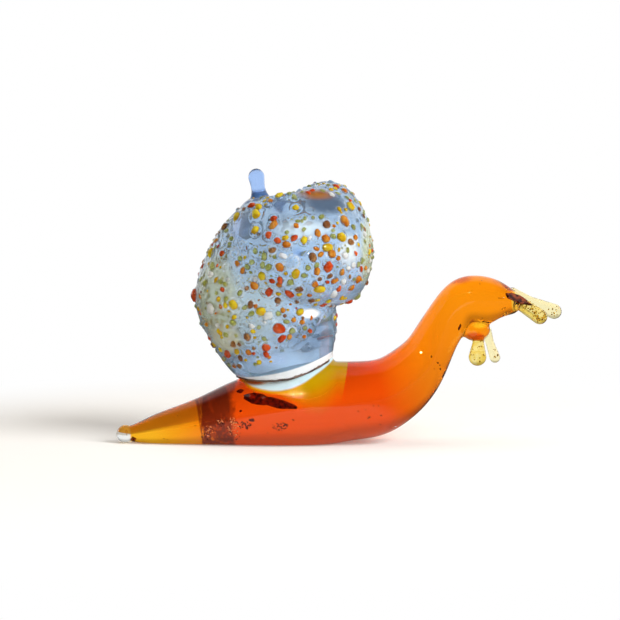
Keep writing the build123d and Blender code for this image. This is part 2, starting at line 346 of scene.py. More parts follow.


# A smear is an egg-shaped region with a soft edge, where the glass has another tint and is milkier. It also serves
# for painted highlights and painted reflections.
def smear(tree, place, tint, milk, middle, half_size, code, milky):
    off = add_node(tree, "VectorMath", {0: place, 1: middle}, operation="SUBTRACT")
    off = add_node(tree, "VectorMath", {0: off, 1: half_size}, operation="DIVIDE")
    way = add_node(tree, "VectorMath", {0: off}, operation="LENGTH").outputs["Value"]
    cover = add_node(tree, "MapRange", {"Value": way, "From Min": smear_core, "From Max": 1.0, **falling}, **soft)
    tint = add_node(tree, "Mix", {0: cover, 6: tint, 7: linear(code)}, data_type="RGBA").outputs[2]
    return tint, add_node(tree, "Mix", {0: cover, 2: milk, 3: milky})


# Places in the glass, in millimetres
def glass_place(tree):
    place = add_node(tree, "TexCoord").outputs["Object"]
    place = add_node(tree, "VectorMath", {0: place, 3: 1000}, operation="SCALE")
    return place, add_node(tree, "SeparateXYZ", {0: place}).outputs


# The surface of each glass: its tint, how soft its reflections are, and how much light it lets through
def finish_glass(tree, tint, roughness, clearness):
    glass = add_node(tree, "BsdfPrincipled", {"Base Color": tint, "Roughness": roughness, "IOR": glass_ior,
                     "Transmission Weight": clearness})
    add_node(tree, "OutputMaterial", {"Surface": glass})


# Amber glass, drawn and polished by the flame: clear right through, with sharp reflections, and deeper
# in colour towards the red core
amber, tree = new_material("amber_glass_drawn_at_the_lamp")
place, parts = glass_place(tree)
climb = add_node(tree, "Math", {0: parts["Z"], 1: climb_share, 2: parts["X"]}, operation="MULTIPLY_ADD")
waver = add_node(tree, "TexNoise", {"Vector": place, "Scale": 1 / waver_size, "Detail": 2.0})
along = add_node(tree, "Math", {0: waver, 1: waver_reach, 2: climb}, operation="MULTIPLY_ADD")
along = add_node(tree, "MapRange", {"Value": along, "From Min": tint_start, "From Max": tint_end})
tint = add_node(tree, "ValToRGB", {0: along}, stops=[
    (0.0, tip_amber), (1.0, head_amber), (0.10, tip_amber), (0.22, tail_amber), (0.25, heart_red),
    (0.62, heart_red), (0.72, neck_orange), (0.86, head_amber)])

# The tail's upper half is painted darker on the near side, a painted shade, and its tip is clear with a streak of
# amber above
near_soft = 0.6
split_line = tail_split[0] - tail_split[1] * tip_end
split_soft = 0.25
streak_heights = (1.9, 2.4)
streak_length = 2.6
tip_soft = 0.3
near = add_node(tree, "MapRange", {"Value": parts["Y"], "From Min": -near_soft, "From Max": 0.0, **falling}, **soft)
split = add_node(tree, "Math", {0: parts["X"], 1: -tail_split[1], 2: parts["Z"]}, operation="MULTIPLY_ADD")
split = add_node(tree, "MapRange", {"Value": split, "From Min": split_line - split_soft,
                 "From Max": split_line + split_soft}, **soft)
in_tail = add_node(tree, "MapRange", {"Value": parts["X"], "From Min": band_start, "From Max": band_start + 0.2,
                   **falling}, **soft)
shade = add_node(tree, "Math", {0: near, 1: split}, operation="MULTIPLY")
shade = add_node(tree, "Math", {0: shade, 1: in_tail}, operation="MULTIPLY")
tint = add_node(tree, "Mix", {0: shade, 6: tint, 7: linear(tail_shade)}, data_type="RGBA").outputs[2]
upper = add_node(tree, "MapRange", {"Value": parts["Z"], "From Min": streak_heights[0],
                 "From Max": streak_heights[1]}, **soft)
tip_edge = add_node(tree, "Math", {0: upper, 1: -streak_length, 2: tip_end + 0.1}, operation="MULTIPLY_ADD")
tip_edge = add_node(tree, "Math", {0: parts["X"], 1: tip_edge}, operation="SUBTRACT")
in_tip = add_node(tree, "MapRange", {"Value": tip_edge, "From Min": -tip_soft, "From Max": tip_soft, **falling},
                  **soft)
tint = add_node(tree, "Mix", {0: in_tip, 6: tint, 7: linear(tip_clear)}, data_type="RGBA").outputs[2]

# The maroon ring: a clean edge to the tail, a ragged one to the heart, with orange showing low down
clean_edge = (-0.1, 0.35)
ragged_edge = (1.1, 2.1)
orange_heights = (3.5, 5.5)
orange_levels = (0.54, 0.60)
orange_share = 0.8
speck = add_node(tree, "TexNoise", {"Vector": place, "Scale": 1 / speck_size, "Detail": 4.0, "Roughness": 0.62})
ragged = add_node(tree, "Math", {0: speck, 1: ragged_reach, 2: parts["X"]}, operation="MULTIPLY_ADD")
rise = add_node(tree, "MapRange", {"Value": parts["X"], "From Min": band_start + clean_edge[0],
                "From Max": band_start + clean_edge[1]}, **soft)
fall = add_node(tree, "MapRange", {"Value": ragged, "From Min": band_end + ragged_edge[0],
                "From Max": band_end + ragged_edge[1], **falling}, **soft)
band = add_node(tree, "Math", {0: rise, 1: fall}, operation="MULTIPLY")
fleck = add_node(tree, "TexNoise", {"Vector": place, "Scale": 1 / fleck_size, "Detail": 3.0})
low_down = add_node(tree, "MapRange", {"Value": parts["Z"], "From Min": orange_heights[0],
                    "From Max": orange_heights[1], **falling}, **soft)
opened = add_node(tree, "MapRange", {"Value": fleck, "From Min": orange_levels[0], "From Max": orange_levels[1]},
                  **soft)
opened = add_node(tree, "Math", {0: opened, 1: low_down}, operation="MULTIPLY")
opened = add_node(tree, "Math", {0: band, 1: opened}, operation="MULTIPLY")
band = add_node(tree, "Math", {0: opened, 1: -orange_share, 2: band}, operation="MULTIPLY_ADD")
tint = add_node(tree, "Mix", {0: band, 6: tint, 7: linear(band_maroon)}, data_type="RGBA").outputs[2]

# The pad in the back: clear glass painted milky and pale blue, as painted light that shows through it, with a yellow
# rim that widens to an olive wedge towards the neck
rim_places = (-2.5, 8.0)
rim_widths = (0.9, 9.5)
wedge_lean = 0.2
pad_soft = 0.2
edge = add_node(tree, "MapRange", {"Value": parts["X"], "From Min": pad_edge[0][0], "From Max": pad_edge[-1][0]})
edge = add_node(tree, "FloatCurve", {"Value": edge})
curve = edge.mapping.curves[0]
span = pad_edge[-1][0] - pad_edge[0][0]
for count, (along_body, height) in enumerate(pad_edge):
    spot = ((along_body - pad_edge[0][0]) / span, (height - pad_low) / (pad_high - pad_low))
    if count in (0, len(pad_edge) - 1):
        curve.points[0 if count == 0 else -1].location = spot
    else:
        curve.points.new(*spot)
edge.mapping.update()
edge = add_node(tree, "Math", {0: edge, 1: pad_high - pad_low, 2: pad_low}, operation="MULTIPLY_ADD")
below = add_node(tree, "Math", {0: edge, 1: parts["Z"]}, operation="SUBTRACT")
rim_width = add_node(tree, "MapRange", {"Value": parts["X"], "From Min": rim_places[0], "From Max": rim_places[1],
                     "To Min": rim_widths[0], "To Max": rim_widths[1]}, **soft)
sunk = add_node(tree, "Math", {0: below, 1: rim_width}, operation="DIVIDE")
wedge_line = add_node(tree, "Math", {0: parts["Z"], 1: -wedge_lean, 2: parts["X"]}, operation="MULTIPLY_ADD")
in_wedge = add_node(tree, "MapRange", {"Value": wedge_line, "From Min": wedge_end - 3.4,
                    "From Max": wedge_end - 3.2, **falling}, **soft)
rim_tint = add_node(tree, "MapRange", {"Value": parts["X"], "From Min": 0, "From Max": 5}, **soft)
rim_tint = add_node(tree, "Mix", {0: rim_tint, 6: linear(pad_rim), 7: linear(pad_wedge)},
                    data_type="RGBA").outputs[2]
front = add_node(tree, "MapRange", {"Value": parts["X"], "From Min": pad_half_length - pad_soft,
                 "From Max": pad_half_length + pad_soft, **falling}, **soft)
back = add_node(tree, "MapRange", {"Value": parts["X"], "From Min": -pad_half_length - pad_soft,
                "From Max": -pad_half_length + pad_soft}, **soft)
in_pad = add_node(tree, "Math", {0: front, 1: back}, operation="MULTIPLY")
in_rim = add_node(tree, "MapRange", {"Value": sunk, "From Min": 0.1, "From Max": 1.0, **falling}, **soft)
in_wedge = add_node(tree, "Math", {0: in_rim, 1: in_wedge}, operation="MULTIPLY")
over_edge = add_node(tree, "MapRange", {"Value": below, "From Min": -0.3, "From Max": 0.2, **falling}, **soft)
in_pad = add_node(tree, "Math", {0: over_edge, 1: in_pad}, operation="MULTIPLY")
tint = add_node(tree, "Mix", {0: in_wedge, 6: tint, 7: rim_tint}, data_type="RGBA").outputs[2]
tint = add_node(tree, "Mix", {0: in_pad, 6: tint, 7: linear(pad_painted_light)}, data_type="RGBA").outputs[2]
milk = add_node(tree, "Math", {0: in_wedge, 1: wedge_milky}, operation="MULTIPLY")
milk = add_node(tree, "Mix", {0: in_pad, 2: milk, 3: pad_milky})
for row in body_tints_and_chin_highlight:
    tint, milk = smear(tree, place, tint, milk, *row)
clearness = add_node(tree, "Math", {0: milk, 1: -1.0, 2: 1.0}, operation="MULTIPLY_ADD")
finish_glass(tree, tint, polished, clearness)

body_nodes = ["tail_bead", "tail_cone", "tail_band", "body", "collar", "chin_lump"]
stub_nodes = ["eye_stalk_near", "eye_stalk_far", "feeler_near", "feeler_far"]
bend_passes = 90
chin_zone = (33.0, 24.6)


# Melted glass has no crease: the bend of the skin is evened out along it, but not on small parts
def even_bends(mesh, passes, keep):
    ends = np.array([edge.vertices[:] for edge in mesh.edges])
    first = np.array([vertex.normal[:] for vertex in mesh.vertices])
    bends = first.copy()
    for _ in range(passes):
        total = bends.copy()
        for axis in range(3):
            total[:, axis] += np.bincount(ends[:, 0], bends[ends[:, 1], axis], len(bends))
            total[:, axis] += np.bincount(ends[:, 1], bends[ends[:, 0], axis], len(bends))
        bends = total / np.linalg.norm(total, axis=1)[:, None]
    kept = np.array([keep(vertex.co) for vertex in mesh.vertices])[:, None]
    bends = first * kept + bends * (1 - kept)
    layer = mesh.attributes.new("bend", "FLOAT_VECTOR", "POINT")
    layer.data.foreach_set("vector", bends.ravel())


def small_part(point):
    if on_stub(point):
        return 1.0
    near_tip = min(1, max(0, (tip_end + 4 - point.x * 1000) / 3))
    near_snout = min(1, max(0, (snout_way(point) * 1000 + 3) / 2))
    in_chin = min(1, max(0, point.x * 1000 - chin_zone[0])) * min(1, max(0, chin_zone[1] - point.z * 1000))
    return max(near_tip, near_snout, in_chin)


whole_skin = skin_over("whole_skin", body_nodes + stub_nodes, skin_grain, skin_passes,
                       lambda point: on_stub(point) or point.x < metres(tip_end + 2))
even_bends(whole_skin, bend_passes, small_part)


def smooth_mesh(name, heap):
    mesh = bpy.data.meshes.new(name)
    heap.to_mesh(mesh)
    heap.free()
    mesh.polygons.foreach_set("use_smooth", [True] * len(mesh.polygons))
    return mesh


# The skin is cut along the roots of the stubs, and each part keeps the bend that the whole skin has
# there, so that no seam shows
def part_of_skin(name, wanted):
    whole = bmesh.new()
    whole.from_mesh(whole_skin)
    droop = math.radians(snout_droop)
    cuts = [((snout_cut[0], 0, snout_cut[1]), (math.cos(droop), 0, -math.sin(droop)), snout_cut[0] - 4),
            ((snout_cut[0] - far_set_back / math.cos(droop), 0, snout_cut[1]), (math.cos(droop), 0, -math.sin(droop)),
             snout_cut[0] - 5),
            ((0, 0, chin_cut[1]), (0, 0, 1), chin_cut[0]), ((0, 0, 0), (0, 1, 0), chin_cut[0] + 0.5),
            ((far_chin_cut[0], 0, 0), (1, 0, 0), far_chin_cut[0] - 1),
            ((0, 0, far_chin_cut[1]), (0, 0, 1), far_chin_cut[0])]
    for spot, normal, start in cuts:
        near_cut = [face for face in whole.faces if face.calc_center_median().x > metres(start)]
        bounds = {edge for face in near_cut for edge in face.edges} | {v for face in near_cut for v in face.verts}
        bmesh.ops.bisect_plane(whole, geom=near_cut + list(bounds), plane_co=metres(*spot), plane_no=normal)
    layer = whole.verts.layers.float_vector["bend"]
    others = [face for face in whole.faces if on_stub(face.calc_center_median()) != wanted]
    bends = {tuple(vertex.co): vertex[layer].normalized() for vertex in whole.verts}
    bmesh.ops.delete(whole, geom=others, context="FACES")
    mesh = smooth_mesh(name, whole)
    mesh.normals_split_custom_set_from_vertices([bends[tuple(vertex.co)] for vertex in mesh.vertices])
    return mesh


body = new_piece("amber_body", part_of_skin("amber_body", None), amber)
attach(body, "root")
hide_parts(*body_nodes)

# The stubs on the head: two upper stalks and two lower feelers, drawn from a rod of pale gold glass,
# melted to a ball at the end and stuck on hot. Drawn glass is clear and glossy, with faint clouds of
# a deeper gold, and the far pair is paler.
gold_pale = "#F8E692"
gold_deep = "#ECC84C"
gold_far = "#FCF2BE"
gold_cloud = 1.1


# A mottled tint: clouds of a given size in millimetres, that pass from one colour to the other
def mottled(tree, place, size, start, codes, end=0.62):
    cloud = add_node(tree, "TexNoise", {"Vector": place, "Scale": 1 / size, "Detail": 3.0})
    cloud = add_node(tree, "MapRange", {"Value": cloud, "From Min": start, "From Max": end}, **soft)
    return add_node(tree, "Mix", {0: cloud, 6: linear(codes[0]), 7: linear(codes[1])}, data_type="RGBA").outputs[2]


gold, tree = new_material("pale_gold_glass_drawn")
place, parts = glass_place(tree)
tint = mottled(tree, place, gold_cloud, 0.42, (gold_pale, gold_deep))
far_side = add_node(tree, "MapRange", {"Value": parts["Y"], "From Min": 0, "From Max": 0.4}, **soft)
tint = add_node(tree, "Mix", {0: far_side, 6: tint, 7: linear(gold_far)}, data_type="RGBA").outputs[2]
finish_glass(tree, tint, polished, 1.0)
stubs = {}
for name in stub_nodes:
    stubs[name] = new_piece("gold_" + name, part_of_skin("gold_" + name, name), gold)
    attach(stubs[name], "root")
    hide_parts(name)

# What is locked in the glass: smears and crumbs of dark enamel, orange crumbs in the ring, bubbles, and gold dust in
# the stubs. They were picked up on the hot glass and cased over, and each lies under a spot of the square view.
view_pixels = 620
pixel_length = sight_distance * camera.data.sensor_width / sight_lens / view_pixels
draw = random.Random(7)
# Rows: spot in view, half length and half height in pixels, tilt in degrees, depth under the skin in
# millimetres, and how many crumbs share that region
dark_spots = [
    (258, 399.5, 14, 5.2, -10, 0.6, 1), (276, 403, 16, 4.2, -13, 0.5, 1), (241, 392, 3.2, 2.0, 0, 0.8, 1),
    (244, 425, 9, 4.0, -12, 0.3, 50), (279, 426.5, 9, 4.0, 8, 0.3, 44), (221, 423.5, 6, 2.4, 0, 0.3, 14),
    (252, 419.8, 2.6, 1.5, 0, 0.7, 1),
    (233, 420.0, 3.4, 1.8, 0, 0.6, 2), (268, 431, 3, 1.4, 0, 0.7, 2), (205, 437, 5, 4, 0, 0.5, 5),
    (133.6, 438.6, 3.2, 2.2, 12, 0.5, 1), (238, 436, 5, 5, 0, 0.5, 5), (482, 319.5, 3.4, 2.4, 40, 0.4, 4),
    (459.3, 327, 1.2, 3.4, -20, 0.3, 1), (166, 438.5, 3.2, 0.8, 0, 0.4, 2), (195, 426, 1.6, 1.0, 0, 0.6, 2),
    (292, 419.5, 3.0, 0.9, 0, 0.6, 2), (241, 411, 1.3, 1.0, 0, 0.7, 1), (376, 416, 30, 12, 0, 1.0, 9),
    (436, 356, 5, 18, 0, 1.0, 6)]
orange_spots = [(208, 431, 5.5, 6, 0, -0.1, 22), (233, 427, 5.5, 10, 0, -0.1, 40), (222, 422, 6, 2, 0, -0.1, 6)]
# The single pale bodies at 394, 501, 503.6 and 254 in the view are small pale marks under the skin
pale_spots = [
    (220, 420.5, 5, 1.8, 0, 0.3, 8), (394, 426.5, 2.2, 0.8, 0, 0.3, 1), (501, 298, 3.2, 0.8, 4, 0.25, 1),
    (503.6, 308.2, 2.4, 0.8, 10, 0.25, 1), (163, 414, 5, 7, 0, 0.4, 7), (178, 413, 3, 3, 0, 0.4, 3),
    (128, 433, 2.4, 2.4, 0, 0.5, 4), (480, 283, 5, 2, 0, 0.4, 2), (254, 392.5, 0.6, 2.6, -15, 0.4, 1)]
dust_spots = [(529, 307, 9, 5.5, -30, 0.3, 46), (540, 316, 6.5, 6.5, 0, 0.3, 44), (554, 311, 6, 6, 0, 0.3, 16),
              (476.4, 355, 7.5, 8, 0, 0.3, 14), (496, 353, 4, 6, 0, 0.3, 8), (478.5, 344, 4.5, 5, 0, 0.3, 5)]
crumb_heights = (0.35, 1.0)
crumb_lengths = (0.8, 1.6)
enamel_cloud = 0.8


def sight_through(pixel_x, pixel_y):
    across = (pixel_x / view_pixels - 0.5) * camera.data.sensor_width / sight_lens
    up = (0.5 - pixel_y / view_pixels) * camera.data.sensor_width / sight_lens
    return (camera.rotation_euler.to_matrix() @ Vector((across, up, -1))).normalized()


def skin_tree_of(mesh):
    return BVHTree.FromPolygons([v.co for v in mesh.vertices], [p.vertices[:] for p in mesh.polygons])


def grow_crumb(heap, middle, half_sizes, turn, uneven, rounds):
    crumb = bmesh.ops.create_icosphere(heap, subdivisions=rounds, radius=1.0)["verts"]
    shift = Vector((draw.uniform(-50, 50), draw.uniform(-50, 50), 0))
    for vertex in crumb:
        swell = 1 + uneven * noise.noise(vertex.co * 1.4 + shift)
        vertex.co = middle + turn @ Vector([metres(half) * swell * step for half, step in zip(half_sizes, vertex.co)])


def locked_in(name, pieces, spots, uneven=0.5, flatness=0.5):
    skins = [skin_tree_of(piece.data) for piece in pieces]
    facing = camera.rotation_euler.to_matrix()
    heap = bmesh.new()
    for pixel_x, pixel_y, half_length, half_height, tilt, depth, count in spots:
        for _ in range(count):
            spot = Vector((0, 0))
            size = (half_length, half_height)
            if count > 1:
                way = draw.uniform(0, math.tau)
                reach = math.sqrt(draw.random())
                spot = Vector((half_length * reach * math.cos(way), half_height * reach * math.sin(way)))
                crumb = draw.uniform(*crumb_heights)
                size = (crumb * draw.uniform(*crumb_lengths), crumb)
            lean = math.radians(tilt)
            spot_x = pixel_x + spot.x * math.cos(lean) + spot.y * math.sin(lean)
            spot_y = pixel_y - spot.x * math.sin(lean) + spot.y * math.cos(lean)
            sight = sight_through(spot_x, spot_y)
            hits = [skin.ray_cast(eye_point, sight) for skin in skins]
            hits = [hit for hit in hits if hit[0] is not None]
            if not hits:
                continue
            hit = min(hits, key=lambda found: found[3])
            thick = min(size) * pixel_length * flatness
            middle = hit[0] + sight * metres(depth + thick)
            turn = facing @ Matrix.Rotation(lean if count == 1 else draw.uniform(0, math.tau), 3, "Z")
            half_sizes = (size[0] * pixel_length, size[1] * pixel_length, thick)
            grow_crumb(heap, middle, half_sizes, turn, uneven, 3 if count == 1 else 1)
    return smooth_mesh(name, heap)


# Enamel is opaque powder glass with a mottled skin: dull for the maroon, satiny for the orange, shiny
# for the bubbles and partly metallic for the gold dust
def enamel(name, codes, roughness, metallic=0.0):
    material, tree = new_material(name)
    place, _ = glass_place(tree)
    tint = mottled(tree, place, enamel_cloud, 0.38, codes)
    skin = add_node(tree, "BsdfPrincipled", {"Base Color": tint, "Roughness": roughness, "IOR": glass_ior,
                    "Metallic": metallic})
    add_node(tree, "OutputMaterial", {"Surface": skin})
    return material


maroon_enamel = enamel("maroon_enamel_smeared", ("#3A0E06", "#8C3C18"), 0.8)
orange_enamel = enamel("orange_enamel_crumbs", ("#E88A50", "#D06028"), 0.35)
silver_bubble = enamel("bubbles_locked_in", ("#FFFFFF", "#FFF3DC"), 0.2, 0.2)
gold_dust = enamel("gold_dust_locked_in", ("#B88018", "#ECC850"), 0.3, 0.4)
locked = [("dark_crumbs", [body], dark_spots, maroon_enamel), ("orange_crumbs", [body], orange_spots, orange_enamel),
          ("pale_bubbles", [body], pale_spots, silver_bubble),
          ("gold_dust", list(stubs.values()), dust_spots, gold_dust)]
for name, pieces, spots, material in locked:
    crumbs = new_piece(name, locked_in(name, pieces, spots), material)
    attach(crumbs, "root")

# A smear of the same maroon enamel, drawn over the root of the near stalk when that was stuck on. It
# stands a little proud of the skin.
smear_spots = [(517, 298.4, 11.5, 3.6, -24, -0.22, 1), (524, 302.2, 8, 1.9, -24, -0.12, 1)]
root_smear = new_piece("root_smear", locked_in("root_smear", [body, *stubs.values()], smear_spots, 0.5, 0.25),
                       maroon_enamel)
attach(root_smear, "root")

# The shell: a thick rope of pale blue glass wound on hot, so that its turns ran together in one skin.
# It is clear and glossy with milky and grey streaks, and the milky white patches on its near side are painted
# highlights and reflections. The grains melted on it draw its skin up round them, and clear ones leave only a bump.
coil_grain = 0.28
coil_passes = 30
coil_sink = 0.3
swell_start = 10.0
swell_trim = 0.09
coil_milky = 0.2
halo_milky = 0.5
# The foot of the shell is clear glass, painted milky white as painted light, up to a line that leans as the back does
# and sags at the side
foot_height = 16.1
foot_lean = 0.269
foot_sag = 0.9
foot_half_length = 8.8
foot_soft = 0.1
foot_milky = 0.75
painted_light_white = "#F8FCFF"
coil_blue = "#B4D4F6"
coil_grey = "#9DB6D0"
coil_cloud = 7.0
# Patches of the near side that are darker, clearer or milky, the white ones painted highlights and painted
# reflections: middle, half size, colour and how milky
coil_patches_and_highlights = [
    ((-6.0, -9, 28.0), (8.0, 7, 10.0), "#B8CBCE", 0.25), ((-13.5, -6, 29.5), (6.5, 12, 12.0), "#C8CCA4", 0.38),
    ((7.2, -8.5, 47.8), (6.6, 7, 3.2), "#46566C", 0.45), ((3.0, -10, 42.8), (8.4, 6, 3.4), "#EAFAFF", 0.85),
    ((2.4, -12, 38.6), (2.4, 4, 2.2), "#5A94E8", 0.45), ((-1.0, -8, 47.2), (2.8, 6, 2.4), "#86A8DE", 0.3),
    ((-9.4, -8, 43.2), (3.8, 6, 3.2), "#8FAEE0", 0.3), ((4.6, -9, 22.0), (6.2, 8, 4.6), "#7C96B6", 0.3),
    ((11.4, -8, 38.8), (3.8, 7, 4.6), "#F4FAF8", 0.42), ((-3.0, -9, 17.6), (4.6, 8, 1.8), "#B4D2FA", 0.3),
    ((16.0, -4, 38.0), (2.4, 9, 9.0), "#D0D4A0", 0.25), ((4.6, -8, 26.6), (2.6, 6, 1.3), "#FFFFFF", 0.9),
    ((5.4, -6, 49.6), (5.4, 7, 1.7), "#94581E", 0.75),
    ((-12.0, -7, 21.4), (4.6, 8, 4.4), "#E4E8CC", 0.5)]

blue, tree = new_material("pale_blue_glass_wound_hot")
place, parts = glass_place(tree)
cloud = add_node(tree, "TexNoise", {"Vector": place, "Scale": 1 / coil_cloud, "Detail": 2.0, "Distortion": 0.6})
cloud = add_node(tree, "MapRange", {"Value": cloud, "From Min": 0.40, "From Max": 0.66}, **soft)
tint = add_node(tree, "Mix", {0: cloud, 6: linear(coil_blue), 7: linear(coil_grey)}, data_type="RGBA").outputs[2]
milk = coil_milky
in_halo = add_node(tree, "Attribute", attribute_name="halo").outputs["Fac"]
for row in coil_patches_and_highlights:
    tint, milk = smear(tree, place, tint, milk, *row)
# The broken rings round the grains are painted milky white, a painted highlight
tint = add_node(tree, "Mix", {0: in_halo, 6: tint, 7: linear(painted_light_white)}, data_type="RGBA").outputs[2]
milk = add_node(tree, "Mix", {0: in_halo, 2: milk, 3: halo_milky})
# Below the foot line the glass is painted milky white, painted light
foot = add_node(tree, "Math", {0: parts["X"], 1: -foot_lean, 2: parts["Z"]}, operation="MULTIPLY_ADD")
sag = add_node(tree, "Math", {0: parts["X"], 1: parts["X"]}, operation="MULTIPLY")
foot = add_node(tree, "Math", {0: sag, 1: -foot_sag / foot_half_length ** 2, 2: foot}, operation="MULTIPLY_ADD")
foot = add_node(tree, "MapRange", {"Value": foot, "From Min": foot_height - foot_sag - foot_soft,
                "From Max": foot_height - foot_sag + foot_soft, **falling}, **soft)
tint = add_node(tree, "Mix", {0: foot, 6: tint, 7: linear(painted_light_white)}, data_type="RGBA").outputs[2]
milk = add_node(tree, "Mix", {0: foot, 2: milk, 3: foot_milky})
clearness = add_node(tree, "Math", {0: milk, 1: -1.0, 2: 1.0}, operation="MULTIPLY_ADD")
finish_glass(tree, tint, polished, clearness)

# Grains in view, by colour: place and half width in pixels of the square view
grains_in_view = {
    "yellow": [
        (237.4, 217, 5.0), (256.5, 214.3, 5.4), (258.8, 207, 4.2), (255.7, 230.4, 4.3), (211.8, 253, 5.0),
        (279.4, 196.2, 4.4), (295.7, 208, 3.4), (349.8, 207, 5.4), (339, 209.5, 2.6), (341.1, 237.5, 5.2),
        (285.5, 238, 3.2), (303.9, 240.1, 3.6), (327.3, 247.8, 5.0), (319.2, 288.6, 5.0), (317, 299.3, 3.0),
        (262.2, 275.8, 4.7), (260.8, 311.3, 5.0), (295.7, 273.8, 4.8), (299.6, 311.8, 4.0), (220.2, 331.4, 3.8),
        (233.6, 304.6, 5.0), (221, 349.3, 2.8), (334, 318, 2.8), (368.2, 251.8, 3.4)],
    "orange": [
        (275.8, 193.2, 2.5), (270.7, 201.3, 3.0), (343.7, 191.6, 4.0), (343.7, 221.2, 5.4), (273.8, 225.3, 4.3),
        (286.5, 244.7, 4.0), (279.9, 267.1, 4.3), (331.4, 253.9, 4.4), (320.7, 254.4, 3.0), (317.6, 233.5, 3.8),
        (296.2, 225.8, 2.8), (317, 271.2, 3.8), (341.6, 272.2, 3.2), (334.5, 280.4, 3.6), (357.4, 278.9, 4.6),
        (314.6, 284, 4.0), (350.8, 287.6, 3.8), (279.4, 284.5, 3.2), (282.7, 310.0, 2.8), (248.8, 352.4, 3.4),
        (243, 270.7, 3.2), (365, 268, 3.0), (254.6, 285.9, 4.2), (325.3, 238.6, 4.4), (302, 322, 2.6)],
    "red": [
        (251.9, 205.9, 3.8), (336, 187.5, 3.8), (273.8, 218.7, 3.4), (268.7, 235, 3.5), (277.3, 240.6, 3.4),
        (294.2, 238.1, 3.4), (327.9, 267.1, 5.4), (289.6, 293.2, 4.7), (272.2, 280.9, 3.0), (280.4, 280.0, 3.8),
        (269.2, 291.6, 4.3), (278.7, 328.3, 6.2), (281.8, 338.1, 4.2), (266.2, 347.5, 4.6), (266.2, 354.2, 3.3),
        (228.2, 353.8, 4.6), (222.5, 253.7, 3.4), (218.6, 246.8, 2.2), (210.4, 337.7, 3.2), (348.8, 300.8, 3.6)],
    "brown": [
        (225.5, 227.3, 4.6), (244.3, 209.4, 2.6), (294.7, 188.6, 3.0), (358.5, 209.5, 2.8), (362.5, 216.5, 2.8),
        (350.3, 242.1, 3.8), (326.3, 224.8, 4.2), (312.5, 257, 4.4), (311.5, 299.8, 3.6), (247.4, 336.3, 4.3),
        (233.6, 343.9, 3.8), (239.8, 343.9, 2.6), (240.7, 357.8, 3.0), (253.7, 348, 2.2), (239.8, 365.8, 2.8),
        (211.7, 346.2, 3.4), (250.5, 304.6, 3.6), (277.6, 300.5, 3.4), (272.5, 250.2, 3.4), (299.3, 289, 3.6)],
    "white": [
        (290.6, 186.5, 3.2), (344.7, 255.4, 3.6), (352.9, 265, 3.2), (347.8, 268.2, 3.0), (342.7, 281.4, 3.6),
        (333.5, 293.7, 4.4), (267.5, 315.4, 4.8), (211.7, 308.2, 5.2), (218.4, 325, 3.2), (211.3, 274.7, 3.8),
        (364, 234.5, 3.0), (283, 255.9, 3.6), (255, 279.2, 3.0)],
    "green": [
        (282, 190, 2.5), (294.2, 197.8, 3.0), (321.2, 217.1, 3.0), (313, 218, 2.0), (297.8, 221.2, 2.2),
        (302, 221.2, 1.8), (303.9, 229.4, 2.2), (287, 232.4, 2.2), (346.7, 250.3, 3.0), (303.9, 275.3, 3.0),
        (264.6, 256.4, 3.8), (263.1, 265.1, 3.5), (268.7, 267.1, 3.8), (290.6, 282, 3.6), (358, 297.2, 4.4),
        (361, 261, 3.0), (352.9, 227.3, 3.0), (361, 226.3, 3.0), (292, 331, 3.3), (264, 338.6, 2.6),
        (259, 327, 2.4), (245.2, 307.3, 2.8), (251.4, 313.6, 3.2), (233.6, 322.5, 3.6), (214.8, 352.9, 3.0),
        (205.9, 283.2, 4.0), (225.5, 284.1, 3.0), (226.4, 299.3, 3.0), (247.9, 266.7, 3.4), (252.3, 262, 3.4),
        (240.3, 293, 3.0), (278.2, 313.6, 3.0), (286.3, 321.6, 3.0), (232, 238.8, 3.0), (255.7, 251, 3.0),
        (240.4, 258.7, 3.0), (212.9, 266.3, 4.0), (307, 186.5, 2.4), (285, 188.5, 3.0), (298, 187.5, 2.6),
        (303, 185.5, 2.6), (318, 184.5, 2.2), (328, 185.5, 2.2)],
    "clear": [
        (292.6, 262, 5.0), (234.7, 252.6, 4.0), (340, 263.6, 2.5), (237, 278, 3.4), (225.9, 267.1, 3.2),
        (311, 210, 2.4), (327, 212, 2.2), (357, 221, 3.0), (246, 322, 3.0), (256, 321, 2.6), (272, 324, 2.8)],
}
edge_bead = ("red", 196.6, 295.2, 7.0)
scatter_near = 260
scatter_round = 330
scatter_colours = ["green", "yellow", "clear", "orange", "green", "yellow", "clear", "brown", "white", "green",
                   "yellow", "clear", "red"]
scatter_radius = (0.24, 0.66)
scatter_tries = 9000
scatter_low = 20.0
scatter_gap = 0.22
grain_room = 0.86
draw_up_reach = 1.8
draw_up_share = 0.3
bump_reach = 1.25
bump_share = 0.75
halo_reach = 1.3
halo_width = 0.22
halo_strength = (-0.2, 1)
halo_top = 48.0
halo_cloud = 0.9
web_height = 0.36
web_height_far = 0.2
web_turn = 0.3
web_grain = 1.9
# Patches left bare, in view: middle and half size in pixels
bare_patches = [((262, 226), (30, 19)), ((291, 206), (20, 11)), ((322, 206), (21, 12)), ((300, 247), (12, 10)),
                ((300, 228), (30, 9))]
bare_line = ((275, 365), (335, 308))
foot_line = 367

